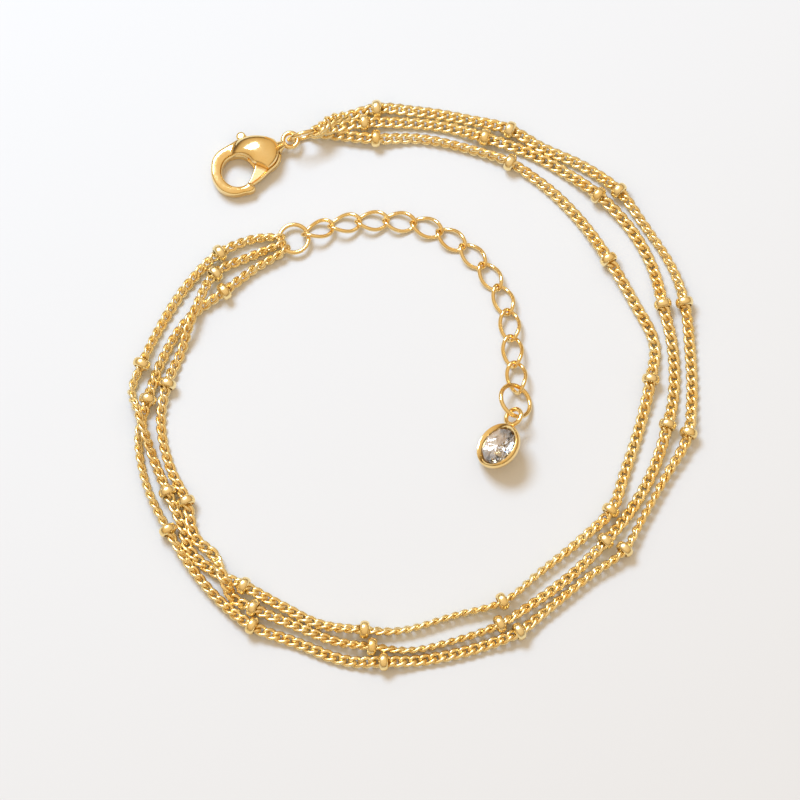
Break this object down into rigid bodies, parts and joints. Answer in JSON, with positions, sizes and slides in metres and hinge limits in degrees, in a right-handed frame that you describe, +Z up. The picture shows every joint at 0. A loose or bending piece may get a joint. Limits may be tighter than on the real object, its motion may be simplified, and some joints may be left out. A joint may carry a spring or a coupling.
{
  "type": "layered chain bracelet",
  "caption": "Layered bracelet of fine beaded chains, unfastened and lying flat, with a lobster clasp, a link extender and a round stone drop.",
  "frame": {"origin": "middle of the bracelet's bounding box, on the surface that it lies on", "axes": "+Z up from the surface; +Y away from the viewer, towards the clasp; +X to the viewer's right"},
  "size_m": [0.06, 0.0625, 0.0037],
  "materials": {
    "polished_gold_plate": "high-polish gold plate",
    "brushed_gold_plate": "gold plate, brushed on the gate's flat",
    "clear_stone": "polished, faceted and clear"
  },
  "bodies": {
    "bracelet": {"strand_outer": "polished_gold_plate", "strand_middle": "polished_gold_plate", "strand_inner": "polished_gold_plate", "bead_outer_01": "polished_gold_plate", "bead_outer_02": "polished_gold_plate", "bead_outer_03": "polished_gold_plate", "bead_outer_04": "polished_gold_plate", "bead_outer_05": "polished_gold_plate", "bead_outer_06": "polished_gold_plate", "bead_outer_07": "polished_gold_plate", "bead_outer_08": "polished_gold_plate", "bead_outer_09": "polished_gold_plate", "bead_outer_10": "polished_gold_plate", "bead_outer_11": "polished_gold_plate", "bead_outer_12": "polished_gold_plate", "bead_middle_01": "polished_gold_plate", "bead_middle_02": "polished_gold_plate", "bead_middle_03": "polished_gold_plate", "bead_middle_04": "polished_gold_plate", "bead_middle_05": "polished_gold_plate", "bead_middle_06": "polished_gold_plate", "bead_middle_07": "polished_gold_plate", "bead_middle_08": "polished_gold_plate", "bead_middle_09": "polished_gold_plate", "bead_middle_10": "polished_gold_plate", "bead_middle_11": "polished_gold_plate", "bead_middle_12": "polished_gold_plate", "bead_inner_01": "polished_gold_plate", "bead_inner_02": "polished_gold_plate", "bead_inner_03": "polished_gold_plate", "bead_inner_04": "polished_gold_plate", "bead_inner_05": "polished_gold_plate", "bead_inner_06": "polished_gold_plate", "bead_inner_07": "polished_gold_plate", "bead_inner_08": "polished_gold_plate", "bead_inner_09": "polished_gold_plate", "bead_inner_10": "polished_gold_plate", "bead_inner_11": "polished_gold_plate", "clasp_ring": "polished_gold_plate", "end_ring": "polished_gold_plate", "drop_ring": "polished_gold_plate", "extender_link_01": "polished_gold_plate", "extender_link_02": "polished_gold_plate", "extender_link_03": "polished_gold_plate", "extender_link_04": "polished_gold_plate", "extender_link_05": "polished_gold_plate", "extender_link_06": "polished_gold_plate", "extender_link_07": "polished_gold_plate", "extender_link_08": "polished_gold_plate", "extender_link_09": "polished_gold_plate", "extender_link_10": "polished_gold_plate", "extender_link_11": "polished_gold_plate", "extender_link_12": "polished_gold_plate", "drop_setting": "polished_gold_plate", "clasp_body": "polished_gold_plate", "clasp_rivet": "polished_gold_plate", "drop_stone": "clear_stone"},
    "lever": {"clasp_lever": "brushed_gold_plate"}
  },
  "joints": [
    {"name": "lever_pivot", "type": "hinge", "parent": "bracelet", "child": "lever", "pos_m": [-0.01553, 0.02507, 0.00107], "axis": [0, 0, -1], "range_deg": [0, 22], "stiffness_Nm_per_rad": 0.001}
  ]
}
